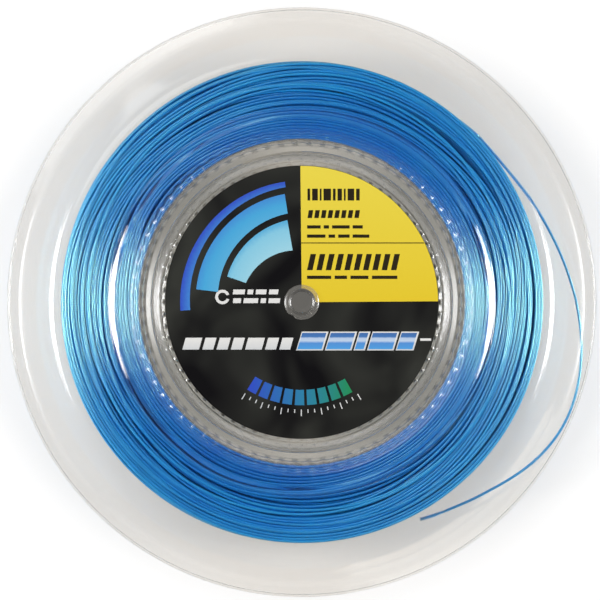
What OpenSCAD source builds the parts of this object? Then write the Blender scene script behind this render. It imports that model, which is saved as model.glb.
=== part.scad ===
// Reel of tennis string: two clear half shells that snap together at the mid-plane, a label in
// each hub pocket, a flanged bush through the middle, and the string wound between the flanges.
// The reel lies flat on its rear foot ring, its axis along +Z, with the front towards +Z.

/* [Flanges] */
// Radius of the rim
rim_r = 135; // [130:0.5:150]
// Thickness of the moulded wall
wall = 1.4; // [1.2:0.1:1.8]
// Distance between the two flanges, inside
string_space = 19; // [17:0.5:26]
// Radial distance from the wound string out to the shoulder, where the cone to the rim starts
shoulder_room = 4.9; // [3.6:0.1:8]
// Radial width of the rim land outside the cone
land_w = 5.4; // [4:0.1:8]
// Height of the outer face above the mid-plane where the cone ends
land_h = 3.4; // [3.2:0.1:5]
// Gap between the two rim lips
rim_gap = 0.8; // [0.4:0.1:1.2]
// Thickness of the inturned rim lip
lip_w = 1.3; // [1:0.1:1.6]

/* [Foot ring] */
// Height of the foot ring above the flange
foot_h = 2.1; // [1.6:0.1:4]
// Radial width of the flared wall from the drum up to the foot ring
flare_w = 4.4; // [3.6:0.1:6]
// Radial width of the flat top of the foot ring
foot_w = 6.4; // [3:0.2:8]
// Radial width of the slope from the foot ring down to the flange
foot_slope_w = 3.6; // [2:0.2:6]

/* [Drum and hub] */
// Radius of the drum that the string is wound on
drum_r = 74.2; // [60:0.1:85]
// Number of flutes round the hub recess, and of teeth round the label
flute_count = 72; // [36:12:90]
// Radius of one flute
flute_r = 2.2; // [1.2:0.1:3]
// Depth of one flute
flute_depth = 0.5; // [0.3:0.1:0.7]
// Depth of the hub's shelf below the top of the foot ring
shelf_depth = 2.6; // [2.2:0.1:3]
// Radial width of the flat ledge at the foot of the flared wall
ledge_w = 0.8; // [0.4:0.1:2]
// Radial width of each of the two ridges on the shelf
ridge_w = 3.6; // [2:0.1:5]
// Height of the ridges above the shelf
ridge_h = 1; // [0.4:0.1:1.6]
// Radial width of the ring of teeth round the label
teeth_w = 2.3; // [1.6:0.1:5]
// Radius of the notch between two teeth
notch_r = 1.4; // [0.8:0.1:2]
// Depth of the notch between two teeth
notch_depth = 0.5; // [0.3:0.1:0.7]
// Depth of the label pocket below the shelf
pocket_depth = 1.2; // [0.8:0.1:3]
// Length of the lap joint where the half drums meet
lap_len = 1.5; // [0.8:0.1:3]

/* [Labels] */
// Thickness of each label
label_t = 0.4; // [0.2:0.1:0.8]

/* [Bush] */
// Radius of the centre hole
bore_r = 4.8; // [4:0.1:5]
// Wall of the bush
bush_wall = 1; // [0.8:0.1:1.4]
// Radius of the collar at each end of the bush
collar_r = 8; // [7.6:0.1:12]
// Thickness of each collar
collar_t = 1.2; // [0.8:0.1:2]
// Depth of the gate mark in the edge of the front collar
gate_notch = 0.7; // [0.3:0.1:1]

/* [Snap posts] */
// Number of snap posts
post_count = 6; // [3:1:8]
// Radial distance from the edge of the label in to the posts' circle
post_inset = 20.4; // [8:0.2:35]
// Radius of each snap pin
pin_r = 2.5; // [1.5:0.1:3]
// Length of each snap pin
pin_len = 5; // [3:0.5:6]
// Wall round each snap pin's socket
boss_wall = 2; // [1.2:0.1:3]

/* [String] */
// Diameter of the string
string_d = 1.25; // [1.1:0.05:1.4]
// Outer radius of the wound string
wound_r = 110.3; // [95:0.1:111]
// Number of turns that stand proud on each face of the wound string
proud_turns = 3; // [1:1:4]
// Width of the gap that each proud turn leaves beside it
gap_w = 1.6; // [0.6:0.1:1.8]
// Depth of that gap below the other turns
gap_depth = 2; // [0.8:0.1:3]
// Length of the tape that starts the winding, along the drum
tape_len = 30; // [15:1:60]
// Width of the tape
tape_w = 12; // [8:1:15]
// Thickness of the tape
tape_t = 0.15; // [0.05:0.05:0.2]

/* [Clearances] */
// Radial running clearance between the bush and the shells
running = 0.08; // [0.04:0.01:0.1]
// Axial clearance under each collar
axial = 0.1; // [0.05:0.05:0.3]
// Gap between the wound string and what surrounds it
string_clear = 0.3; // [0.2:0.05:0.5]
// Clearance of the snap pins, the lap joint and the labels' edges
snug = 0.1; // [0.05:0.05:0.2]

/* [Hidden] */
$fn = 180;

// Heights above the mid-plane, for the front half; the rear half mirrors them
flange_in = string_space / 2;
flange_out = flange_in + wall;
foot_top = flange_out + foot_h;
shelf_top = foot_top - shelf_depth;
ridge_top = shelf_top + ridge_h;
pocket_floor = shelf_top - pocket_depth;
web_under = pocket_floor - wall;
label_top = pocket_floor + label_t;
bush_end = label_top + axial + collar_t;
// The mid-plane stands this high above the surface that the reel lies on
mid = foot_top;

// Radii, from the drum out to the rim and in to the bush
foot_in_r = drum_r + flare_w;
foot_out_r = foot_in_r + foot_w;
foot_base_r = foot_out_r + foot_slope_w;
shoulder_r = wound_r + shoulder_room;
land_r = rim_r - land_w;
recess_r = drum_r - wall;
ledge_r = recess_r - ledge_w;
valley_r = ledge_r - ridge_w;
teeth_r = valley_r - ridge_w;
pocket_r = teeth_r - teeth_w;
label_r = pocket_r - snug;
bush_r = bore_r + bush_wall;
web_bore_r = bush_r + running;
lip_in_r = rim_r - lip_w;
wound_in_r = drum_r + string_clear;
wound_half = flange_in - string_clear;
boss_r = pin_r + snug + boss_wall;
post_circle_r = label_r - post_inset;

// Shoulder, rim and lip details
shoulder_drop = 1.4;
shoulder_run = 2.1;
nose_r = 0.6;
lip_face = rim_gap / 2;
// Height of the cavity inside the rim lip, with the string free in it
lip_room = string_d / 2 + 0.45;

// The route of the string's free end: centreline points, X and Y from the reel's axis, Z from the
// mid-plane
TAIL = [
    [81.1, 75.7, 0], [86.9, 69.1, 0], [92.5, 62.5, 0], [98, 55.7, 0], [103.2, 48.8, 0],
    [108.1, 41.5, 0], [112.5, 33.9, 0], [116.4, 26.2, 0], [119.9, 18.2, 0], [122.8, 10, 0],
    [125.2, 1.6, 0], [126.8, -7, 0], [127.7, -15.7, 0], [127.8, -24.4, 0], [127.1, -33.1, 0],
    [125.4, -41.6, 0], [122.7, -49.9, 0], [118.8, -57.7, 0], [113.8, -64.8, 0],
    [107.8, -71.2, 0], [101.1, -76.8, 0], [93.8, -81.6, 0], [86.2, -85.9, 0], [78.5, -89.9, 0],
    [70.6, -93.4, 0], [62.5, -96.6, 0], [54.2, -99.4, 0]
];

/* Curves */

// One coordinate of a Catmull-Rom curve through b and c
function spline(a, b, c, d, t) =
    ((-a + 3 * b - 3 * c + d) * t * t * t + (2 * a - 5 * b + 4 * c - d) * t * t + (c - a) * t) / 2 + b;

function at(route, i) = route[min(max(i, 0), len(route) - 1)];

// The route with extra points between its own, on a smooth curve
function smooth_route(route, steps) = concat(
    [for (i = [0:len(route) - 2], s = [0:steps - 1])
        spline(at(route, i - 1), at(route, i), at(route, i + 1), at(route, i + 2), s / steps)],
    [route[len(route) - 1]]);

// Direction of the route at point i
function heading(route, i) =
    let (d = at(route, i + 1) - at(route, i - 1))
    d / norm(d);

// Ring of a round cord at point i
function cord_ring(route, i, d, sides) =
    let (t = heading(route, i), s = cross(t, [0, 0, 1]) / norm(cross(t, [0, 0, 1])), u = cross(s, t))
    [for (k = [0:sides - 1]) route[i] + d / 2 * (cos(360 * k / sides) * s + sin(360 * k / sides) * u)];

// A round cord along a route: one closed tube with flat ends
module cord(route, d, sides = 8) {
    n = len(route);
    points = [for (i = [0:n - 1]) each cord_ring(route, i, d, sides)];
    side_faces = [for (i = [0:n - 2], k = [0:sides - 1])
        let (a = i * sides + k, b = i * sides + (k + 1) % sides)
        each [[a, b, b + sides], [a, b + sides, a + sides]]];
    caps = [[for (k = [sides - 1:-1:0]) k], [for (k = [0:sides - 1]) (n - 1) * sides + k]];
    polyhedron(points = points, faces = concat(side_faces, caps), convexity = 6);
}

/* Shells */

// Outer face of the flange from the foot ring to the rim lip's edge, as [radius, height]
function flange_face() = concat(
    [[foot_in_r, foot_top], [foot_out_r, foot_top], [foot_base_r, flange_out]],
    [[shoulder_r - shoulder_run, flange_out], [shoulder_r, flange_out - shoulder_drop]],
    [[land_r, land_h]],
    [[rim_r - nose_r, lip_room + wall - nose_r], [rim_r, lip_room], [rim_r, lip_face]]);

// Inner face of the flange from the rim lip's edge back to the drum
function flange_back() = [
    [lip_in_r, lip_face], [lip_in_r, lip_room], [land_r, land_h - wall],
    [shoulder_r - wall / 4, flange_out - shoulder_drop - wall], [shoulder_r - shoulder_run, flange_in],
    [foot_base_r - wall / 2, flange_in], [foot_out_r - wall / 2, flange_in + foot_h],
    [foot_in_r, flange_in + foot_h], [drum_r, flange_in]
];

// Outer face of the hub from the foot ring in to the bore of the web
function hub_face() = [
    [web_bore_r, pocket_floor], [pocket_r, pocket_floor], [teeth_r, shelf_top],
    [valley_r - ridge_w / 2, ridge_top], [valley_r, shelf_top], [ledge_r - ridge_w / 2, ridge_top],
    [ledge_r, shelf_top], [recess_r, shelf_top]
];

// Inner face of the hub from the drum wall in to the bore of the web
function hub_back() = [
    [recess_r, shelf_top - wall], [teeth_r + wall / 4, shelf_top - wall],
    [pocket_r + wall / 4, web_under], [web_bore_r, web_under]
];

// One half shell without its posts and flutes; drum_edge is the free edge of its half of the drum
module half_shell(drum_edge) {
    rotate_extrude()
        polygon(concat(hub_face(), flange_face(), flange_back(), drum_edge, hub_back()));
}

// A ring of round-bottomed flutes along a conical wall that rises from low to high, both
// [radius, height]
module cone_flutes(low, high, r, depth) {
    run = high - low;
    length = norm(run);
    // The flute starts this share of the way up, clear of the corner at the foot of the wall
    start = 0.1;
    axis_point = low + run * start + [-run[1], run[0]] / length * (r - depth);
    for (k = [0:flute_count - 1])
        rotate([0, 0, 360 * k / flute_count])
            translate([axis_point[0], 0, axis_point[1]])
                rotate([0, atan2(run[0], run[1]), 0])
                    cylinder(r = r, h = length * 1.2, $fn = 32);
}

// The flutes of the hub recess's flared wall, and the notches between the teeth round the label
module flutes() {
    cone_flutes([recess_r, shelf_top], [foot_in_r, foot_top], flute_r, flute_depth);
    cone_flutes([pocket_r, pocket_floor], [teeth_r, shelf_top], notch_r, notch_depth);
}

// Places a copy of its children at each snap post
module at_posts() {
    for (k = [0:post_count - 1])
        rotate([0, 0, 360 * (k + 0.5) / post_count])
            translate([post_circle_r, 0, 0])
                children();
}

// Front half shell: its posts end at the mid-plane and carry the snap pins
module front_shell() {
    lap_mid = drum_r - wall / 2;
    drum_edge = [
        [drum_r, -lap_len], [lap_mid + snug / 2, -lap_len],
        [lap_mid + snug / 2, lap_len + snug], [recess_r, lap_len + snug]
    ];
    color([0.86, 0.87, 0.87, 0.35])
    translate([0, 0, mid])
        union() {
            difference() {
                half_shell(drum_edge);
                flutes();
            }
            at_posts() {
                cylinder(r = boss_r, h = web_under + wall / 2, $fn = 32);
                translate([0, 0, -pin_len])
                    cylinder(r = pin_r, h = pin_len + wall, $fn = 32);
            }
        }
}

// Rear half shell: the front one's mirror image, with sockets for the snap pins
module rear_shell() {
    lap_mid = drum_r - wall / 2;
    drum_edge = [
        [drum_r, lap_len + snug], [lap_mid - snug / 2, lap_len + snug],
        [lap_mid - snug / 2, -lap_len], [recess_r, -lap_len]
    ];
    color([0.86, 0.87, 0.87, 0.35])
    translate([0, 0, mid])
        mirror([0, 0, 1])
            difference() {
                union() {
                    difference() {
                        half_shell(drum_edge);
                        flutes();
                    }
                    at_posts()
                        cylinder(r = boss_r, h = web_under + wall / 2, $fn = 32);
                }
                at_posts()
                    translate([0, 0, -snug])
                        cylinder(r = pin_r + snug, h = pin_len + 2 * snug, $fn = 32);
            }
}

/* Labels and bush */

module label() {
    difference() {
        translate([0, 0, pocket_floor])
            cylinder(r = label_r, h = label_t);
        translate([0, 0, pocket_floor - 1])
            cylinder(r = web_bore_r, h = label_t + 2, $fn = 64);
    }
}

module front_label() {
    color([0.1, 0.1, 0.11])
    translate([0, 0, mid])
        label();
}

module rear_label() {
    color([0.1, 0.1, 0.11])
    translate([0, 0, mid])
        mirror([0, 0, 1])
            label();
}

// The bush: its collar lies on the front label, and its tube ends flush with the rear collar
module centre_bush() {
    edge = collar_t / 3;
    color([0.8, 0.8, 0.79, 0.5])
    translate([0, 0, mid])
        difference() {
            rotate_extrude($fn = 96)
                polygon(concat(
                    [[bore_r, -bush_end], [bush_r, -bush_end], [bush_r, label_top + axial]],
                    [[collar_r, label_top + axial], [collar_r, bush_end - edge]],
                    [[collar_r - edge, bush_end], [bore_r, bush_end]]));
            // Gate mark
            rotate([0, 0, 235])
                translate([collar_r + 1.5, 0, label_top])
                    cylinder(r = 1.5 + gate_notch, h = collar_t * 3, $fn = 32);
        }
}

// The ring snapped on the rear end of the bush
module bush_collar() {
    edge = collar_t / 3;
    color([0.8, 0.8, 0.79, 0.5])
    translate([0, 0, mid])
        rotate_extrude($fn = 96)
            polygon([
                [bush_r, -bush_end], [collar_r - edge, -bush_end], [collar_r, -bush_end + edge],
                [collar_r, -label_top - axial], [bush_r, -label_top - axial]
            ]);
}

/* String */

// Half of the section through the wound string: on its face, proud turns and the gaps beside them
module winding_section() {
    bulge = 0.5;
    face = wound_half - string_d / 2;
    spacing = (wound_r - wound_in_r) / proud_turns;
    difference() {
        union() {
            polygon([
                [wound_in_r, 0], [wound_r, 0], [wound_r, face - 2 * bulge],
                [wound_r - bulge, face], [wound_in_r, face]
            ]);
            for (k = [0:proud_turns - 1])
                translate([wound_in_r + (k + 0.5) * spacing, face])
                    circle(d = string_d, $fn = 32);
        }
        for (k = [0:proud_turns - 1])
            translate([wound_in_r + (k + 0.5) * spacing + string_d * 0.6, face - gap_depth])
                square([gap_w, gap_depth + string_d]);
    }
}

// The outer shape of the wound string
module string_winding() {
    color([0.1, 0.45, 0.75])
    translate([0, 0, mid])
        rotate_extrude()
            for (side = [0, 1])
                mirror([0, side])
                    winding_section();
}

// The free end of the string, from the winding to where it was cut
module string_tail() {
    color([0.1, 0.4, 0.65])
    translate([0, 0, mid])
        cord(smooth_route(TAIL, 2), string_d);
}

// The strip of tape on the drum under the first turns
module start_tape() {
    gap = (string_clear - tape_t) / 2;
    color([0.9, 0.9, 0.85])
    translate([0, 0, mid - tape_w / 2])
        rotate([0, 0, 90])
            rotate_extrude(angle = tape_len / drum_r * 180 / PI)
                translate([drum_r + gap, 0])
                    square([tape_t, tape_w]);
}

front_shell();
rear_shell();
front_label();
rear_label();
centre_bush();
bush_collar();
string_winding();
string_tail();
start_tape();
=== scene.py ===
import math

import bpy
import numpy as np
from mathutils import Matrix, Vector


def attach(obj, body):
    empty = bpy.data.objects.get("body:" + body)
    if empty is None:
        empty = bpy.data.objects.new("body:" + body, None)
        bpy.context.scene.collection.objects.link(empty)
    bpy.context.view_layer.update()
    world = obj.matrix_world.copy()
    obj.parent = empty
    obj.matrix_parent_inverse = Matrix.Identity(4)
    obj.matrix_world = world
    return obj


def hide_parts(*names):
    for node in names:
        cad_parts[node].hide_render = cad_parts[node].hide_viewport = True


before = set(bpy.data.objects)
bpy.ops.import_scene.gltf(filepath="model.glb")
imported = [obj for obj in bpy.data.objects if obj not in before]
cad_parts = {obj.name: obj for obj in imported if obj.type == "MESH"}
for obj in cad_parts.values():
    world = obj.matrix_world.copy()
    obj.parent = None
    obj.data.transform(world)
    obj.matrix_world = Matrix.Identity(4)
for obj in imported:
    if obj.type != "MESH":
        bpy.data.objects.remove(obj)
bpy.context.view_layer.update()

# ---- Camera ---------------------------------------------------------------------------------
# The reel lies flat with its front label up, and the camera looks straight down on it from far
# off, so that the round parts show as circles.
MM = 0.001
MID = 13 * MM  # the reel's mid-plane, above the surface it lies on
PIXEL = 0.458 * MM  # at the mid-plane
PICTURE = 600  # pixels across
AIM = (-1.8 * PIXEL, 2.2 * PIXEL)  # from the reel's axis
CAMERA_DISTANCE = 2.5
SENSOR = 36

camera = bpy.data.cameras.new("camera")
camera.sensor_width = SENSOR
camera.lens = SENSOR * CAMERA_DISTANCE / (PICTURE * PIXEL)
camera_object = bpy.data.objects.new("camera", camera)
bpy.context.collection.objects.link(camera_object)
camera_object.location = (*AIM, MID + CAMERA_DISTANCE)
bpy.context.scene.camera = camera_object

# ---- Free end of the string -----------------------------------------------------------------
# The last 0.227 m of the string: stiff extruded polyester, sprung out of the winding and resting
# against the inside of the rim. Its section is a rounded pentagon that turns as it runs.
STRING_D = 1.25 * MM
TAIL = [
    (0.0811, 0.0757), (0.0869, 0.0691), (0.0925, 0.0625), (0.098, 0.0557), (0.1032, 0.0488),
    (0.1081, 0.0415), (0.1125, 0.0339), (0.1164, 0.0262), (0.1199, 0.0182), (0.1228, 0.01),
    (0.1252, 0.0016), (0.1268, -0.007), (0.1277, -0.0157), (0.1278, -0.0244), (0.1271, -0.0331),
    (0.1254, -0.0416), (0.1227, -0.0499), (0.1188, -0.0577), (0.1138, -0.0648),
    (0.1078, -0.0712), (0.1011, -0.0768), (0.0938, -0.0816), (0.0862, -0.0859),
    (0.0785, -0.0899), (0.0706, -0.0934), (0.0625, -0.0966), (0.0542, -0.0994),
]


def curve_through(points, steps):
    """The points with others between them, on a Catmull-Rom curve."""
    p = np.array(points, float)
    p = np.vstack([2 * p[0] - p[1], p, 2 * p[-1] - p[-2]])
    out = []
    for a, b, c, d in zip(p, p[1:], p[2:], p[3:]):
        for t in np.arange(steps) / steps:
            out.append(b + ((c - a) * t + (2 * a - 5 * b + 4 * c - d) * t**2
                            + (3 * b - a - 3 * c + d) * t**3) / 2)
    return np.array(out + [p[-2]])


def add_mesh(name, points, faces, smooth=True):
    """A mesh object at the origin, with its place in its mesh."""
    mesh = bpy.data.meshes.new(name)
    corners = [tuple(map(float, p)) for p in points]
    mesh.from_pydata(corners, [], [tuple(map(int, f)) for f in faces])
    mesh.polygons.foreach_set("use_smooth", [smooth] * len(mesh.polygons))
    mesh.validate()
    made = bpy.data.objects.new(name, mesh)
    bpy.context.collection.objects.link(made)
    return made


def new_material(name, **constants):
    """A node material, with the named sockets of its shader set to those constants."""
    material = bpy.data.materials.new(name)
    material.use_nodes = True
    shader = material.node_tree.nodes["Principled BSDF"]
    for socket, value in constants.items():
        shader.inputs[socket.replace("_", " ")].default_value = value
    return material, shader


def node(tree, kind, inputs=None, **settings):
    """A node, with its inputs set to constants or fed from other nodes' sockets."""
    made = tree.nodes.new(kind)
    for key, value in settings.items():
        setattr(made, key, value)
    for key, value in (inputs or {}).items():
        if isinstance(value, bpy.types.NodeSocket):
            tree.links.new(value, made.inputs[key])
        else:
            made.inputs[key].default_value = value
    return made


def maths(tree, operation, *values):
    """The result of one sum."""
    return node(tree, "ShaderNodeMath", dict(enumerate(values)), operation=operation).outputs[0]


def place_on(tree):
    """Where a point of the piece is, in the piece's own coordinates."""
    return node(tree, "ShaderNodeTexCoord").outputs["Object"]


def ramp(tree, factor, *stops):
    """A colour ramp, from stops of (place, colour)."""
    made = node(tree, "ShaderNodeValToRGB", {"Fac": factor})
    while len(made.color_ramp.elements) < len(stops):
        made.color_ramp.elements.new(0.5)
    for element, (place, colour) in zip(made.color_ramp.elements, stops):
        element.position = place
        element.color = (*colour, 1)
    return made.outputs["Color"]


def noise(tree, scale, detail=2.0, **inputs):
    """Noise on the piece's own coordinates."""
    return node(tree, "ShaderNodeTexNoise", {
        "Vector": place_on(tree), "Scale": scale, "Detail": detail, **inputs}).outputs["Fac"]


def emboss(tree, shader, height, strength, distance):
    """Fine relief on the shader's normal."""
    bump = node(tree, "ShaderNodeBump",
                {"Height": height, "Strength": strength, "Distance": distance})
    tree.links.new(bump.outputs["Normal"], shader.inputs["Normal"])


def reach_of(tree):
    """How far a point of the piece is from the reel's axis."""
    flat = node(tree, "ShaderNodeVectorMath", {0: place_on(tree), 1: (1, 1, 0)},
                operation="MULTIPLY").outputs[0]
    return node(tree, "ShaderNodeVectorMath", {0: flat}, operation="LENGTH").outputs["Value"]


def string_material(name, deep, light):
    """Pearly blue polyester: its pigment flakes tint and strengthen the highlight. Each turn has
    its own tint in an attribute, and the outer turns are painted lighter than those by the drum, a
    painted light."""
    material, shader = new_material(name, IOR=2.6, Specular_IOR_Level=0.64,
                                    Specular_Tint=(0.52, 1.0, 0.72, 1))
    tree = material.node_tree
    turn = node(tree, "ShaderNodeAttribute", attribute_name="turn_tint").outputs["Fac"]
    drum, edge = 75 * MM, 111 * MM
    # Painted light: the colour runs lighter from the drum to the outer turns; the same share also
    # raises the roughness outwards
    outwards = node(tree, "ShaderNodeMapRange", {
        "Value": reach_of(tree), "From Min": drum, "From Max": edge, "To Max": 0.42}).outputs[0]
    mottle = maths(tree, "MULTIPLY_ADD", noise(tree, 60, 2), 0.4, turn)
    tint_and_painted_light = maths(tree, "ADD", outwards, mottle)
    shade = ramp(tree, tint_and_painted_light, (0.2, deep), (0.95, light))
    tree.links.new(shade, shader.inputs["Base Color"])
    tree.links.new(maths(tree, "MULTIPLY_ADD", outwards, 0.18, 0.23), shader.inputs["Roughness"])
    emboss(tree, shader, noise(tree, 2600, 2), 0.06, 0.05 * MM)
    return material


def tube(path, radii, twist):
    """Points and faces of a closed tube in the path's plane, whose section is those radii."""
    sides, count = len(radii), len(path)
    ahead = np.gradient(path, axis=0)
    ahead /= np.linalg.norm(ahead, axis=1)[:, None]
    side = np.cross(ahead, (0, 0, 1))
    points = []
    for i, (p, s) in enumerate(zip(path, side)):
        for k, r in enumerate(radii):
            a = 2 * math.pi * k / sides + twist * i
            # The section turns about the path, and its lobes with it
            points.append(p + r * (math.cos(a) * s + math.sin(a) * np.array((0, 0, 1))))
    faces = []
    for i in range(count - 1):
        for k in range(sides):
            a, b = i * sides + k, i * sides + (k + 1) % sides
            faces.append((a, b, b + sides, a + sides))
    faces += [range(sides)[::-1], range((count - 1) * sides, count * sides)]
    return points, faces


string_blue = string_material("string_blue", (0.0005, 0.145, 0.68), (0.006, 0.335, 0.87))
TAIL_TINT = 0.05
LOBE_TWIST = 0.02  # radians from one ring of the tube to the next
tail_path = curve_through([(x, y, MID) for x, y in TAIL], 5)
lobes = [STRING_D / 2 * (1.0 if k % 2 == 0 else 0.96) for k in range(10)]
string_tail = add_mesh("free_string_end", *tube(tail_path, lobes, LOBE_TWIST))
tint = string_tail.data.attributes.new("turn_tint", "FLOAT", "POINT")
tint.data.foreach_set("value", [TAIL_TINT] * len(string_tail.data.vertices))
string_tail.data.materials.append(string_blue)
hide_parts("string_tail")
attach(string_tail, "reel")

# ---- Wound string ---------------------------------------------------------------------------
# About 200 m of the same string in 340 turns: fifteen layers between the flanges, laid on the
# drum by a winding machine, tight near the drum and looser outwards, with a few turns that
# stray across the others just under each flange.
WOUND_IN, WOUND_OUT = 74.6 * MM, 110.2 * MM
LAYER_HEIGHTS = np.array([-8.05, *np.linspace(-6.6, 6.6, 13), 8.05]) * MM
FACE_TURNS, INNER_TURNS = 22, 22
STRAY_HEIGHT = 8.82 * MM
rng = np.random.default_rng(11)


def wavy(k, angle, waves, spread):
    """Smooth noise round the reel, that drifts from turn to turn by up to the spread."""
    total = np.zeros(np.broadcast(k, angle).shape)
    for m in range(1, waves + 1):
        phase, slide = rng.uniform(0, 2 * math.pi), rng.uniform(-spread, spread)
        loose = rng.uniform(-1.6, 1.6, k.shape)
        total = total + np.cos(m * angle + phase + slide * k + loose) / m**0.5
    return total


def calm(radius):
    """How unlike each other the turns are: little near the drum, where they are tight."""
    return np.interp(radius, (WOUND_IN, 90 * MM, 97 * MM), (0.25, 0.35, 1.0))


def lay(height, turns, segments, contrast):
    """One layer: rings of centre points, side by side, with the free width shared out unevenly."""
    angle = np.linspace(0, 2 * math.pi, segments, endpoint=False)[None, :]
    k = np.arange(turns + 1)[:, None]
    own = rng.normal(0, 0.9, k.shape)
    weight = np.exp(contrast * wavy(k, angle, 3, 0.7) + own)
    # Little of the free width goes to the inner third of the layer, where the turns are tight
    weight *= np.interp(k / turns, [0, 0.3, 0.5], [0.04, 0.1, 1])
    free = WOUND_OUT - WOUND_IN - turns * STRING_D
    gap = free * weight / weight.sum(axis=0)
    radius = WOUND_IN + np.cumsum(gap, axis=0)[:-1] + (np.arange(turns)[:, None] + 0.5) * STRING_D
    rise = 0.1 * MM * wavy(k[:-1], angle, 3, 1.0) * calm(radius)
    return np.stack([radius * np.cos(angle), radius * np.sin(angle), MID + height + rise], axis=2)


def strays(height, count, segments):
    """Turns that cross over the others on the face of the winding."""
    angle = np.linspace(0, 2 * math.pi, segments, endpoint=False)
    rings = []
    for home in np.linspace(89.5, 105.5, count) * MM:
        drift = rng.uniform(0.8, 2.2) * np.cos(angle + rng.uniform(0, 6.28))
        drift += rng.uniform(0.3, 0.9) * np.cos(2 * angle + rng.uniform(0, 6.28))
        radius = np.clip(home + drift * MM, WOUND_IN, WOUND_OUT - STRING_D / 2)
        rings.append(np.stack([radius * np.cos(angle), radius * np.sin(angle),
                               np.full(segments, MID + height)], axis=1))
    return np.array(rings)


def geometry_tree(name, *inputs):
    """A geometry tree that takes a mesh and the named values, and its input and output nodes."""
    tree = bpy.data.node_groups.new(name, "GeometryNodeTree")
    for way in ("INPUT", "OUTPUT"):
        tree.interface.new_socket("Geometry", in_out=way, socket_type="NodeSocketGeometry")
    for label, kind in inputs:
        tree.interface.new_socket(label, in_out="INPUT", socket_type="NodeSocket" + kind)
    return tree, tree.nodes.new("NodeGroupInput").outputs, tree.nodes.new("NodeGroupOutput").inputs


def end_tree(tree, geometry, material, output):
    """Ends a tree in plain smooth geometry with its material."""
    plain = node(tree, "GeometryNodeRealizeInstances", {0: geometry}).outputs[0]
    smooth = node(tree, "GeometryNodeSetShadeSmooth", {"Geometry": plain}).outputs[0]
    done = node(tree, "GeometryNodeSetMaterial", {"Geometry": smooth, "Material": material})
    tree.links.new(done.outputs[0], output)


def grow(source, *stages):
    """Runs each stage, a tree and its values, on the source, and leaves a plain mesh."""
    for tree, values in stages:
        modifier = source.modifiers.new(tree.name, "NODES")
        modifier.node_group = tree
        for item in tree.interface.items_tree:
            if item.name in values:
                modifier[item.identifier] = values[item.name]
    evaluated = source.evaluated_get(bpy.context.evaluated_depsgraph_get())
    mesh = bpy.data.meshes.new_from_object(evaluated)
    source.modifiers.clear()
    source.data = mesh
    mesh.name = source.name
    return source


round_string, given, result = geometry_tree(
    "round_string", ("String diameter", "Float"), ("Sides", "Int"), ("Material", "Material"))
line = node(round_string, "GeometryNodeMeshToCurve", {"Mesh": given["Geometry"]}).outputs[0]
half = maths(round_string, "DIVIDE", given["String diameter"], 2.0)
section = node(round_string, "GeometryNodeCurvePrimitiveCircle",
               {"Resolution": given["Sides"], "Radius": half}).outputs["Curve"]
wound = node(round_string, "GeometryNodeCurveToMesh", {"Curve": line, "Profile Curve": section})
end_tree(round_string, wound.outputs[0], given["Material"], result[0])


def wind(name, rings, sides, tints):
    """Turns of string along rings of centre points, as one mesh."""
    points = np.concatenate(list(rings))
    edges, start = [], 0
    for ring in rings:
        here = np.arange(start, start + len(ring))
        edges += list(zip(here.tolist(), np.roll(here, -1).tolist()))
        start += len(ring)
    mesh = bpy.data.meshes.new(name)
    mesh.from_pydata(points.tolist(), edges, [])
    values = np.concatenate([t * calm(np.hypot(r[:, 0], r[:, 1])) for r, t in zip(rings, tints)])
    mesh.attributes.new("turn_tint", "FLOAT", "POINT").data.foreach_set("value", values)
    made = bpy.data.objects.new(name, mesh)
    bpy.context.collection.objects.link(made)
    grow(made, (round_string, {
        "String diameter": STRING_D, "Sides": sides, "Material": string_blue}))
    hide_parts("string_winding")
    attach(made, "reel")
    return made


RING_POINTS = 180
SEEN_SIDES, HIDDEN_SIDES = 8, 5
FACE_CONTRAST, INNER_CONTRAST = 1.6, 1.2
STRAYS = 5
MOST_TINT = 0.5
faces_of_winding = {"front": (14, 13, STRAY_HEIGHT), "rear": (0, 1, -STRAY_HEIGHT)}
for side_name, (outer_layer, next_layer, stray_height) in faces_of_winding.items():
    rings = [*lay(LAYER_HEIGHTS[outer_layer], FACE_TURNS, RING_POINTS, FACE_CONTRAST),
             *lay(LAYER_HEIGHTS[next_layer], INNER_TURNS, RING_POINTS, INNER_CONTRAST),
             *strays(stray_height, STRAYS, RING_POINTS)]
    wind(f"string_{side_name}_turns", rings, SEEN_SIDES, rng.uniform(0, MOST_TINT, len(rings)))
# Of the layers between, the two outermost turns show from the side, and the rest are coarser
side_rings, hidden_rings = [], []
for height in LAYER_HEIGHTS[2:13]:
    layer = lay(height, INNER_TURNS, RING_POINTS, INNER_CONTRAST)
    side_rings += list(layer[-2:])
    hidden_rings += [ring[::3] for ring in layer[:-2]]
wind("string_side_turns", side_rings, SEEN_SIDES, rng.uniform(0, MOST_TINT, len(side_rings)))
wind("string_hidden_turns", hidden_rings, HIDDEN_SIDES,
     rng.uniform(0, MOST_TINT, len(hidden_rings)))

# The end of the last turn rises out of the others to where the free end starts: radius in mm
# and bearing in degrees
RISE = ((109.2, 72), (109.3, 64), (109.5, 56), (109.9, 50), (110.5, 46))
last = [(r * MM * math.cos(math.radians(a)), r * MM * math.sin(math.radians(a)), MID)
        for r, a in RISE]
last_path = curve_through([*last, tail_path[0]], 5)
last_turn = add_mesh("string_last_turn", *tube(last_path, lobes, LOBE_TWIST))
tint = last_turn.data.attributes.new("turn_tint", "FLOAT", "POINT")
tint.data.foreach_set("value", np.linspace(0.2, TAIL_TINT, len(last_turn.data.vertices)))
last_turn.data.materials.append(string_blue)
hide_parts("string_winding")
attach(last_turn, "reel")

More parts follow.
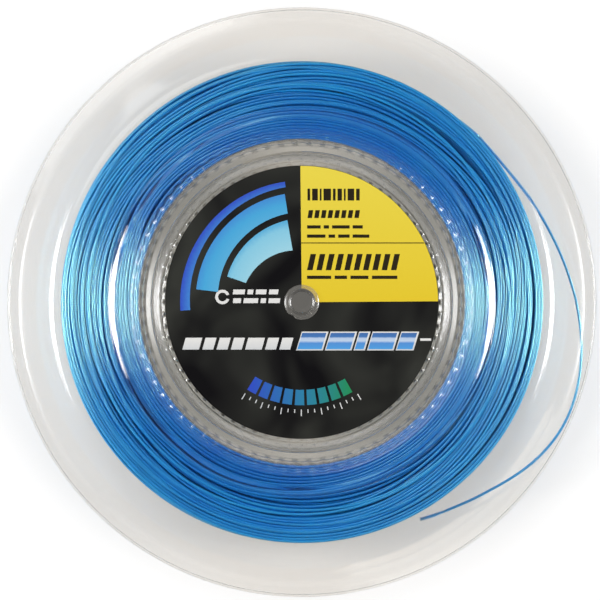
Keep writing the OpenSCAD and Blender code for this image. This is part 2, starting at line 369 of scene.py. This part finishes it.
# ---- Tape at the start of the string --------------------------------------------------------
# A strip of cream paper tape, 30 mm long, 12 mm wide and 0.15 mm thick. It is bent round the drum
# under the first turns of the winding, where it holds the inner end of the string.
tape_material, tape_shader = new_material("paper_tape", Roughness=0.75, IOR=1.45)
tape_tree = tape_material.node_tree
tape_shade = ramp(tape_tree, noise(tape_tree, 1400, 4),
                  (0.3, (0.72, 0.66, 0.5)), (0.7, (0.8, 0.76, 0.62)))
tape_tree.links.new(tape_shade, tape_shader.inputs["Base Color"])
emboss(tape_tree, tape_shader, noise(tape_tree, 2200, 3), 0.4, 0.03 * MM)
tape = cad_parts["start_tape"]
tape.data.materials.clear()
tape.data.materials.append(tape_material)

# ---- Clear half shells ----------------------------------------------------------------------
# Two clear moulded polystyrene halves that meet at the mid-plane in a lap joint: flange, foot
# ring, shoulder, cone and rim, and in the hub 72 pressed flutes and a ring of 72 teeth round the
# label's pocket. The flanges are polished, and the hub's ridges and flutes are satin.
TURN_COARSE, TURN_FINE, TURN_TEETH = 240, 720, 1440  # points in a ring
FLUTES = 72  # and as many teeth
RIM = 135.0
# Radius, height above the mid-plane and rounding of each corner of the front half, in mm: the
# outside from the bore to the rim, then the inside back to the drum
SHELL_OUTSIDE = [
    (5.88, 9.2, 0.15), (62.3, 9.2, 0.05), (63.9, 10.15, 0.2), (64.9, 10.0, 0.2),
    (68.0, 11.8, 0.2), (68.3, 10.6, 0.1), (68.55, 10.6, 0.1), (68.8, 11.2, 0.25), (71.2, 9.98, 0.3),
    (72.8, 10.2, 0.5), (75.6, 11.3, 2.0), (78.9, 13.0, 4.0), (85.0, 13.0, 1.5), (85.9, 12.55, 20.0),
    (86.8, 12.05, 20.0), (87.7, 11.5, 20.0), (88.6, 10.9, 1.1), (110.8, 10.9, 6.0),
    (111.8, 10.78, 6.0), (112.8, 10.51, 6.0), (113.8, 10.09, 6.0), (115.0, 9.31, 2.0),
    (128.8, 3.7, 1.0), (129.4, 3.4, 1.0), (134.2, 1.95, 0.6), (RIM, 1.15, 0.6), (RIM, 0.4, 0.15),
]
SHELL_INSIDE = [
    (133.7, 0.4, 0.15), (133.7, 1.1, 0.3), (129.4, 2.05, 3.0), (114.72, 8.0, 2.0),
    (113.55, 8.75, 6.0), (112.64, 9.13, 6.0), (111.7, 9.39, 6.0), (110.75, 9.5, 6.0),
    (87.9, 9.5, 1.4), (84.3, 11.6, 1.2), (78.8, 11.6, 1.2), (74.2, 9.5, 0.6),
]
FRONT_LAP = [(74.2, -1.5, 0.1), (73.55, -1.5, 0.1), (73.55, 1.6, 0.1), (72.8, 1.6, 0.1)]
REAR_LAP = [(74.2, 1.6, 0.1), (73.45, 1.6, 0.1), (73.45, -1.5, 0.1), (72.8, -1.5, 0.1)]
HUB_INSIDE = [(72.8, 8.75, 0.4), (64.2, 8.75, 0.2), (62.6, 7.8, 0.2), (5.88, 7.8, 0.15)]
# The two fluted slopes, as the span of radius on the outside that each covers
FLARE, TEETH = (72.8, 78.9), (62.3, 65.8)
SMALL_ROUNDING = 0.35  # roundings up to this one have fewer points
FLAT_POINT = 0.2  # from a bend's end to the point that keeps the flat beside it flat


def rounded(corners):
    """The closed outline with its corners rounded, and a point on the flat at each bend's ends."""
    p = np.array([c[:2] for c in corners], float)
    out = []
    for i, (_, _, radius) in enumerate(corners):
        here, before, after = p[i], p[i - 1], p[(i + 1) % len(p)]
        u, v = before - here, after - here
        lu, lv = np.linalg.norm(u), np.linalg.norm(v)
        u, v = u / lu, v / lv
        bend = math.acos(np.clip(-(u @ v), -1, 1))
        reach = min(radius * math.tan(bend / 2), 0.42 * min(lu, lv))
        degrees_a_step = 14 if radius > SMALL_ROUNDING else 30
        steps = max(2, math.ceil(math.degrees(bend) / degrees_a_step))
        bent = [(1 - t)**2 * (here + u * reach) + 2 * t * (1 - t) * here + t**2 * (here + v * reach)
                for t in np.linspace(0, 1, steps + 1)]
        if lu > 2.5 * reach + 3 * FLAT_POINT:
            out.append(here + u * (reach + FLAT_POINT))
        out += bent
        if lv > 2.5 * reach + 3 * FLAT_POINT:
            out.append(here + v * (reach + FLAT_POINT))
    return out


def lathe(name, rings):
    """A closed turned mesh from rings of (radius, height, count), in metres."""
    points, starts = [], []
    for radius, height, count in rings:
        starts.append(len(points))
        a = np.linspace(0, 2 * math.pi, count, endpoint=False)
        ring = [radius * np.cos(a), radius * np.sin(a), np.full(count, height)]
        points += np.stack(ring, 1).tolist()
    faces = []
    for i in range(len(rings)):
        j = (i + 1) % len(rings)
        a, b, na, nb = starts[i], starts[j], rings[i][2], rings[j][2]
        if na == nb:
            faces += [(a + k, b + k, b + (k + 1) % na, a + (k + 1) % na) for k in range(na)]
            continue
        # From a coarse ring to a fine one or back: each coarse edge fans out to its fine ones
        share = max(na, nb) // min(na, nb)
        for k in range(min(na, nb)):
            if na < nb:
                faces += [(a + k, b + (share * k + s) % nb, b + (share * k + s + 1) % nb)
                          for s in range(share)]
                faces.append((a + k, b + share * (k + 1) % nb, a + (k + 1) % na))
            else:
                faces += [(b + k, a + (share * k + s + 1) % na, a + (share * k + s) % na)
                          for s in range(share)]
                faces.append((b + k, b + (k + 1) % nb, a + share * (k + 1) % na))
    return add_mesh(name, points, faces)


def clear_material(name, tint, dull, clearness=1.0):
    """Clear moulded plastic, with its roughness at each radius in mm. Rays from lamps pass
    straight through it, so that it lets light in."""
    material, shader = new_material(name, Base_Color=(*tint, 1), Transmission_Weight=clearness,
                                    IOR=1.49)
    tree = material.node_tree
    reach = reach_of(tree)
    rings = node(tree, "ShaderNodeTexNoise", {"W": reach, "Scale": 420.0, "Detail": 3.0},
                 noise_dimensions="1D").outputs["Fac"]
    spread = 5.0  # brings the reach into the ramp's span of 0 to 1
    satin = ramp(tree, maths(tree, "MULTIPLY", reach, spread),
                 *[(r * MM * spread, (v, v, v)) for r, v in dull])
    haze = maths(tree, "MULTIPLY_ADD", noise(tree, 60, 4), 0.03, satin)
    tree.links.new(haze, shader.inputs["Roughness"])
    emboss(tree, shader, rings, 0.05, 0.02 * MM)
    passing = node(tree, "ShaderNodeBsdfTransparent", {"Color": (0.945, 0.932, 0.918, 1)})
    ray = node(tree, "ShaderNodeLightPath").outputs
    surface = shader.outputs[0]
    for kind in ("Is Diffuse Ray", "Is Shadow Ray"):
        surface = node(tree, "ShaderNodeMixShader",
                       {0: ray[kind], 1: surface, 2: passing.outputs[0]}).outputs[0]
    tree.links.new(surface, tree.nodes["Material Output"].inputs["Surface"])
    return material


clear_shell = clear_material("clear_shell", (0.98, 0.966, 0.943), [
    (61, 0.03), (62.5, 0.1), (65, 0.15), (68, 0.15), (68.7, 0.24), (72, 0.2), (74, 0.14),
    (76, 0.18), (78.5, 0.2), (80.5, 0.06), (86, 0.03), (89, 0.02), (110, 0.02), (111.5, 0.14),
    (115, 0.12), (117, 0.02), (127, 0.02), (128.5, 0.2), (130, 0.2), (131, 0.02)])

# Grooves pressed into a slope: the slope's share, 0 to 1 from its foot, is in an attribute
press_flutes, given, result = geometry_tree(
    "press_flutes", ("Slope", "String"), ("Count", "Int"), ("Width", "Float"), ("Depth", "Float"),
    ("Start", "Float"), ("End", "Float"), ("Material", "Material"))
share = node(press_flutes, "GeometryNodeInputNamedAttribute", {"Name": given["Slope"]},
             data_type="FLOAT").outputs["Attribute"]
spot = node(press_flutes, "ShaderNodeSeparateXYZ",
            {0: node(press_flutes, "GeometryNodeInputPosition").outputs[0]}).outputs
bearing = maths(press_flutes, "ARCTAN2", spot["Y"], spot["X"])
y_squared = maths(press_flutes, "MULTIPLY", spot["Y"], spot["Y"])
reach = maths(press_flutes, "SQRT", maths(
    press_flutes, "MULTIPLY_ADD", spot["X"], spot["X"], y_squared))
half_pitch = maths(press_flutes, "DIVIDE", math.pi, given["Count"])
off_groove = maths(press_flutes, "WRAP", bearing, half_pitch,
                   maths(press_flutes, "MULTIPLY", half_pitch, -1.0))
across = maths(press_flutes, "MULTIPLY", off_groove, reach)
half_width = maths(press_flutes, "MULTIPLY", given["Width"], 0.5)
from_middle = maths(press_flutes, "DIVIDE", across, half_width)
round_bottom = maths(press_flutes, "MAXIMUM", maths(
    press_flutes, "SUBTRACT", 1.0, maths(press_flutes, "MULTIPLY", from_middle, from_middle)), 0.0)


def soft_step(tree, value, low, high):
    """0 below low, 1 above high, and smooth between."""
    return node(tree, "ShaderNodeMapRange", {"Value": value, "From Min": low, "From Max": high},
                interpolation_type="SMOOTHSTEP").outputs[0]


full_from = maths(press_flutes, "ADD", given["Start"], 0.3)
full_to = maths(press_flutes, "SUBTRACT", given["End"], 0.45)
rise = soft_step(press_flutes, share, given["Start"], full_from)
fall = soft_step(press_flutes, share, given["End"], full_to)
depth = maths(press_flutes, "MULTIPLY",
              maths(press_flutes, "MULTIPLY", round_bottom, given["Depth"]),
              maths(press_flutes, "MULTIPLY", rise, fall))
inward = node(press_flutes, "ShaderNodeVectorMath", {
    0: node(press_flutes, "GeometryNodeInputNormal").outputs[0],
    "Scale": maths(press_flutes, "MULTIPLY", depth, -1.0)}, operation="SCALE").outputs[0]
moved = node(press_flutes, "GeometryNodeSetPosition",
             {"Geometry": given["Geometry"], "Offset": inward})
end_tree(press_flutes, moved.outputs[0], given["Material"], result[0])


GROOVED_STEP = 0.5  # from ring to ring on a slope with grooves
OFF_THE_SLOPE = -1


def points_round(radius):
    """How many points a ring of the outside has: more where grooves are pressed into it."""
    if TEETH[0] - 0.3 < radius < TEETH[1] + 0.1:
        return TURN_TEETH
    return TURN_FINE if FLARE[0] - 1.4 < radius < FLARE[1] - 0.3 else TURN_COARSE


def half_shell(name, lap, side):
    """One half shell; side is 1 for the front and -1 for the rear."""
    outline = rounded(SHELL_OUTSIDE + SHELL_INSIDE + lap + HUB_INSIDE)
    outline.append(outline[0])
    rings, slopes = [], {"flare": [], "teeth": []}
    outside = True
    for here, there in zip(outline, outline[1:]):
        if outside and here[0] > RIM - 0.1:
            outside = False
        grooved = outside and points_round(here[0]) > TURN_COARSE
        parts = math.ceil(np.linalg.norm(there - here) / GROOVED_STEP) if grooved else 1
        for t in np.arange(parts) / parts:
            r, z = here + (there - here) * t
            turn = points_round(r) if outside else TURN_COARSE
            rings.append((r * MM, MID + side * z * MM, turn))
            for key, (low, high) in (("flare", FLARE), ("teeth", TEETH)):
                on = outside and low - 2 < r < high + 0.01
                slopes[key].append((r - low) / (high - low) if on else OFF_THE_SLOPE)
    if side < 0:
        rings = rings[::-1]
        slopes = {key: values[::-1] for key, values in slopes.items()}
    made = lathe(name, rings)
    for key, values in slopes.items():
        spread = np.repeat(values, [count for _, _, count in rings])
        made.data.attributes.new(key, "FLOAT", "POINT").data.foreach_set("value", spread)
    grow(made,
         (press_flutes, {"Slope": "flare", "Count": FLUTES, "Width": 5.0 * MM, "Depth": 0.65 * MM,
                         "Start": -0.2, "End": 0.92, "Material": clear_shell}),
         (press_flutes, {"Slope": "teeth", "Count": FLUTES, "Width": 2.75 * MM, "Depth": 0.22 * MM,
                         "Start": 0.0, "End": 1.0, "Material": clear_shell}))
    return made


for shell_name, node_name, lap, side in (
        ("clear_front_shell", "front_shell", FRONT_LAP, 1),
        ("clear_rear_shell", "rear_shell", REAR_LAP, -1)):
    shell = half_shell(shell_name, lap, side)
    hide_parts(node_name)
    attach(shell, "reel")

# ---- Labels ---------------------------------------------------------------------------------
# Two die-cut discs of 0.4 mm card, white at the back and the cut edge, printed and laminated with
# gloss film on the face, and pressed into the pockets of the shells.
LAMINATE = dict(Roughness=0.28, IOR=1.5, Coat_Weight=1.0, Coat_Roughness=0.05,
                Specular_IOR_Level=0.3)
LABEL_TOP, PRINTED_FROM = 9.6, 9.58  # of the printed face, in mm from the mid-plane
card_material, card_shader = new_material("laminated_card", **LAMINATE)
card_tree = card_material.node_tree
card_shade = ramp(card_tree, noise(card_tree, 16, 2, Distortion=1.2),
                  (0.36, (0.004, 0.0035, 0.0045)), (0.64, (0.034, 0.035, 0.03)))
card_spot = node(card_tree, "ShaderNodeSeparateXYZ", {0: place_on(card_tree)}).outputs
off_middle = maths(card_tree, "ABSOLUTE", maths(card_tree, "SUBTRACT", card_spot["Z"], MID))
printed = maths(card_tree, "GREATER_THAN", off_middle, PRINTED_FROM * MM)
board = ramp(card_tree, noise(card_tree, 900, 3),
             (0.3, (0.78, 0.75, 0.69)), (0.7, (0.84, 0.82, 0.77)))
card_face = node(card_tree, "ShaderNodeMix", {0: printed, 6: board, 7: card_shade},
                 data_type="RGBA").outputs[2]
card_tree.links.new(card_face, card_shader.inputs["Base Color"])
emboss(card_tree, card_shader, noise(card_tree, 300, 2), 0.05, 0.05 * MM)
for label_name in ("front_label", "rear_label"):
    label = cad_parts[label_name]
    label.data.materials.clear()
    label.data.materials.append(card_material)

# ---- Inks on the labels ---------------------------------------------------------------------
# Plain offset printing under the gloss film: a yellow quarter with dark bars, three blue arcs, a
# row of slanted blocks and a gauge of short segments. Each ink is a film 0.02 mm thick on the
# card, and a second one may lie on the first. All the outlines are in mm from the reel's axis.
INK = 0.02  # thickness of one film
LABEL_EDGE, LABEL_HOLE = 62.2, 6.3
DEGREES_A_STEP = 2.5  # on the outline of an arc


def block(x, y, width, height, lean=0.0):
    """A bar from its lower left corner, whose top is moved along by the lean."""
    return [(x, y), (x + width, y), (x + width + lean, y + height), (x + lean, y + height)]


def arc(inner, outer, start, end):
    """Part of a ring between two bearings, in degrees, with a pair of radii at each edge."""
    share = np.linspace(0, 1, max(4, math.ceil(abs(end - start) / DEGREES_A_STEP)))
    a = np.radians(start + (end - start) * share)
    near, far = (r[0] + (r[1] - r[0]) * share for r in (inner, outer))
    back = list(zip(near * np.cos(a), near * np.sin(a)))[::-1]
    return [*zip(far * np.cos(a), far * np.sin(a)), *back]


def dashes(x, y, lengths, height, gap, lean=0.0):
    """A row of bars of those lengths."""
    starts = x + np.cumsum([0, *lengths[:-1]]) + gap * np.arange(len(lengths))
    return [block(s, y, length, height, lean) for s, length in zip(starts, lengths)]


def ink(name, shapes, layer, along, *stops, side=1):
    """One ink: its shapes as thin solids, in a colour that runs through the stops along X, Y or
    the reach from the axis, in mm."""
    points, faces = [], []
    for shape in shapes:
        n, start = len(shape), len(points)
        bottom = LABEL_TOP + INK * layer
        for z in (bottom, bottom + INK):
            points += [(x * side * MM, y * MM, MID + z * side * MM) for x, y in shape]
        faces.append(range(start, start + n)[::-1])
        faces.append(range(start + n, start + 2 * n))
        faces += [(start + k, start + (k + 1) % n, start + n + (k + 1) % n, start + n + k)
                  for k in range(n)]
    made = add_mesh(name, points, faces, smooth=False)
    material, shader = new_material(name, **LAMINATE)
    tree = material.node_tree
    if along == "reach":
        value = reach_of(tree)
    else:
        value = node(tree, "ShaderNodeSeparateXYZ", {0: place_on(tree)}).outputs[along]
    low, high = stops[0][0], stops[-1][0]
    share = node(tree, "ShaderNodeMapRange",
                 {"Value": value, "From Min": low * MM, "From Max": high * MM}).outputs[0]
    grain = maths(tree, "MULTIPLY_ADD", noise(tree, 700, 4), 0.06, -0.03)
    colours = [((mm - low) / (high - low), colour) for mm, colour in stops]
    shade = ramp(tree, maths(tree, "ADD", share, grain), *colours)
    tree.links.new(shade, shader.inputs["Base Color"])
    emboss(tree, shader, noise(tree, 300, 2), 0.05, 0.05 * MM)
    made.data.materials.append(material)
    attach(made, "reel")
    return made


WHITE, SILVER, DEEP_BLUE = (0.8, 0.79, 0.77), (0.62, 0.64, 0.66), (0.04, 0.1, 0.56)
PALE_BLUE, MID_BLUE = (0.36, 0.68, 0.8), (0.12, 0.45, 0.72)
ON_CARD, ON_INK = 0, 1
ink("ink_yellow", [arc((LABEL_HOLE,) * 2, (LABEL_EDGE,) * 2, 0.4, 90.6)], ON_CARD, "Y",
    (0, (0.82, 0.6, 0.03)), (62, (0.86, 0.7, 0.075)))
ink("ink_dark", [
    block(-0.4, 26.8, 56.2, 0.45),
    *dashes(2.6, 46.4, (1.2, 2.6, 0.8, 3.4, 1.2, 2.0, 0.8, 3.0, 1.6), 5.4, 0.9),
    *dashes(2.6, 38.4, (2.0,) * 8, 3.6, 1.05, 0.6),
    *dashes(2.4, 33.6, (6.2, 2.4, 8.0, 4.6), 1.5, 1.4),
    *dashes(2.4, 29.4, (8.4, 3.0, 5.2, 7.6), 1.5, 1.4),
    *dashes(2.4, 14.6, (2.5,) * 10, 7.4, 1.75, 1.6),
    *dashes(2.4, 10.6, (11.0, 5.6, 8.2, 11.6), 1.5, 1.6),
], ON_INK, "X", (0, (0.02, 0.015, 0.008)), (62, (0.03, 0.022, 0.01)))
ink("ink_blue_arcs", [
    arc((24, 27), (38, 36), 100, 161),
    arc((41, 38.5), (50, 48.5), 99, 173),
    arc((53, 51), (55.5, 55.5), 98, 184),
], ON_CARD, "reach", (24, PALE_BLUE), (34, (0.25, 0.6, 0.78)), (37, MID_BLUE),
    (45, (0.07, 0.4, 0.72)), (51, (0.06, 0.24, 0.66)), (55, DEEP_BLUE))
ink("ink_pale", [
    [(x - 36.2, y + 2.4) for x, y in arc((2.0, 2.0), (3.3, 3.3), 20, 340)],
    *dashes(-31.5, 3.6, (5.4, 2.6, 4.8, 4.2), 2.2, 1.2, 0.3),
    *dashes(-31.5, -0.4, (3.6, 6.6, 2.4, 5.2), 2.2, 1.2, 0.3),
    *dashes(-54.5, -21.6, (7.6, 5.0, 5.0, 5.0, 7.6, 5.0, 5.0), 5.4, 1.5, 1.5),
    *dashes(-2.6, -22.0, (12.2, 12.2, 5.2, 12.2, 8.2), 8.6, 0.9, 2.6),
    block(54.0, -17.6, 5.0, 1.1),
], ON_CARD, "Y", (-23, SILVER), (-17.5, WHITE), (6, WHITE))
ink("ink_blue_blocks", dashes(-2.0, -21.4, (11.0, 11.0, 4.0, 11.0, 7.0), 7.4, 2.1, 2.2),
    ON_INK, "Y", (-21.4, (0.08, 0.36, 0.78)), (-18.6, (0.1, 0.3, 0.7)),
    (-17.6, (0.55, 0.68, 0.86)), (-16.4, (0.5, 0.62, 0.82)),
    (-15.8, (0.07, 0.2, 0.5)), (-14.0, (0.06, 0.16, 0.42)))
GAUGE_START = 238  # degrees round from +X, at the gauge's left end
segments = [arc((40, 40), (47, 47), a, a + 5.4) for a in np.arange(GAUGE_START, 300, 7)]
ink("ink_gauge", segments, ON_CARD, "X",
    (-25, (0.035, 0.07, 0.56)), (0, (0.03, 0.22, 0.4)), (25, (0.02, 0.28, 0.06)))
# Every third tick is longer
ticks = [arc((49, 49), (50.6 + 1.4 * (k % 3 == 0),) * 2, a, a + 0.5)
         for k, a in enumerate(np.arange(GAUGE_START, 304, 3.5))]
ink("ink_gauge_ticks", ticks, ON_CARD, "X", (-30, SILVER), (30, WHITE))
rear_rings = [arc((54.5, 54.5), (56, 56), a, a + 86) for a in (2, 92, 182, 272)]
rear_rings += [arc((24, 27), (38, 36), a, a + 56) for a in (100, 280)]
ink("ink_rear_rings", rear_rings, ON_CARD, "reach",
    (24, PALE_BLUE), (38, MID_BLUE), (56, DEEP_BLUE), side=-1)

# ---- Centre bush ----------------------------------------------------------------------------
# A clear moulded bush with a thin collar that lies on the front label, its gate mark at the lower
# left, and the ring that snaps on its rear end. It runs free in the webs of the shells.
BUSH_OUTLINE = [
    (4.8, -10.9, 0.15), (5.8, -10.9, 0.15), (5.8, 9.7, 0.1), (8.0, 9.7, 0.2), (8.0, 10.4, 0.1),
    (7.2, 10.9, 0.1), (6.9, 10.55, 0.15), (6.1, 10.55, 0.15), (5.7, 10.9, 0.1), (4.8, 10.35, 0.15),
]
COLLAR_OUTLINE = [
    (5.82, -10.9, 0.1), (7.6, -10.9, 0.25), (8.0, -10.5, 0.2), (8.0, -9.7, 0.2), (5.82, -9.7, 0.1),
]
TURN_BUSH = 120
GATE_BEARING, GATE_HALF_SPAN = 235, 12  # degrees
GATE_DEPTH = 0.7 * MM
clear_bush = clear_material("clear_bush", (0.7, 0.68, 0.64), [(0, 0.18), (9, 0.24)], 0.9)
for bush_name, node_name, corners in (
        ("clear_bush", "centre_bush", BUSH_OUTLINE),
        ("clear_snap_ring", "bush_collar", COLLAR_OUTLINE)):
    rings = [(r * MM, MID + z * MM, TURN_BUSH) for r, z in rounded(corners)[::-1]]
    turned = lathe(bush_name, rings)
    if node_name == "centre_bush":
        for vertex in turned.data.vertices:
            x, y, z = vertex.co
            off = math.hypot(x, y)
            from_gate = math.degrees(math.atan2(y, x)) % 360 - GATE_BEARING
            if z > MID + 9 * MM and off > 7 * MM:
                dip = GATE_DEPTH * max(0.0, 1 - (from_gate / GATE_HALF_SPAN)**2)
                vertex.co.x -= dip * x / off
                vertex.co.y -= dip * y / off
    turned.data.materials.append(clear_bush)
    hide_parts(node_name)
    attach(turned, "bush")

# ---- Floor, backdrop and lights -------------------------------------------------------------
# A white table top, an oval softbox with a longer strip low on either side, and a soft panel high
# at the far left.
FLOOR_HALF, FLOOR_LEVEL = 6, -0.2 * MM
floor_corners = [(x * FLOOR_HALF, y * FLOOR_HALF, FLOOR_LEVEL)
                 for x, y in ((-1, -1), (1, -1), (1, 1), (-1, 1))]
floor = add_mesh("floor", floor_corners, [(0, 1, 2, 3)], smooth=False)
floor_material, floor_shader = new_material("white_table", Base_Color=(0.7, 0.7, 0.7, 1),
                                            Roughness=0.9, Specular_IOR_Level=0.0)
floor_tree = floor_material.node_tree
paths = node(floor_tree, "ShaderNodeLightPath").outputs
seen = maths(floor_tree, "MAXIMUM", paths["Is Camera Ray"], maths(
    floor_tree, "MAXIMUM", paths["Is Transmission Ray"], paths["Is Glossy Ray"]))
# The glow that keeps the table white, with painted shade under the bush and the labels: much less
# glow near the reel's axis
glow_and_painted_shade = ramp(floor_tree, maths(floor_tree, "MULTIPLY", reach_of(floor_tree), 10.0),
            (0.05, (0.13, 0.125, 0.115)), (0.6, (0.25, 0.247, 0.22)), (0.95, (0.36, 0.36, 0.36)))
lift_and_painted_shade = node(floor_tree, "ShaderNodeEmission", {"Color": glow_and_painted_shade, "Strength": seen})
both = node(floor_tree, "ShaderNodeAddShader", {0: floor_shader.outputs[0], 1: lift_and_painted_shade.outputs[0]})
floor_tree.links.new(both.outputs[0], floor_tree.nodes["Material Output"].inputs["Surface"])
floor.data.materials.append(floor_material)

world = bpy.data.worlds.new("studio")
bpy.context.scene.world = world
world.use_nodes = True
world_tree = world.node_tree
up = node(world_tree, "ShaderNodeSeparateXYZ",
          {0: node(world_tree, "ShaderNodeTexCoord").outputs["Generated"]}).outputs["Z"]
sky = ramp(world_tree, up, (0.0, (0.16,) * 3), (0.55, (0.14,) * 3), (0.95, (0.03,) * 3))
paths = node(world_tree, "ShaderNodeLightPath").outputs
# White only straight on or through the shell, and not in what the string or shell reflects
bounced = maths(world_tree, "ADD", paths["Glossy Depth"], paths["Diffuse Depth"])
direct = maths(world_tree, "MULTIPLY", maths(world_tree, "LESS_THAN", bounced, 0.5), maths(
    world_tree, "MAXIMUM", paths["Is Camera Ray"], paths["Is Transmission Ray"]))
shown = node(world_tree, "ShaderNodeMix", {0: direct, 6: sky, 7: (1, 1, 1, 1)},
             data_type="RGBA").outputs[2]
world_tree.links.new(shown, world_tree.nodes["Background"].inputs["Color"])

# Name, distance, degrees round from +X, degrees above the table, width, height, radiance
LIGHTS = [
    ("right_softbox", 1.0, 0, 28, 0.46, 0.28, 17),
    ("right_strip", 0.98, 0, 28, 0.76, 0.1, 17),
    ("left_softbox", 1.0, 180, 28, 0.46, 0.28, 18),
    ("left_strip", 0.98, 180, 28, 0.76, 0.1, 18),
    ("high_panel", 1.2, 128, 56, 0.7, 0.7, 1.8),
]
for light_name, far, turn, above, width, height, radiance in LIGHTS:
    lamp = bpy.data.lights.new(light_name, "AREA")
    lamp.shape = "ELLIPSE"
    lamp.size, lamp.size_y = width, height
    lamp.energy = radiance * math.pi * width * height * math.pi / 4
    stand = bpy.data.objects.new(light_name, lamp)
    bpy.context.collection.objects.link(stand)
    turn, above = math.radians(turn), math.radians(above)
    toward = Vector((math.cos(turn) * math.cos(above), math.sin(turn) * math.cos(above),
                     math.sin(above)))
    stand.location = toward * far
    stand.rotation_euler = toward.to_track_quat("Z", "Y").to_euler()
    stand.visible_camera = False

bpy.context.scene.view_settings.view_transform = "Standard"
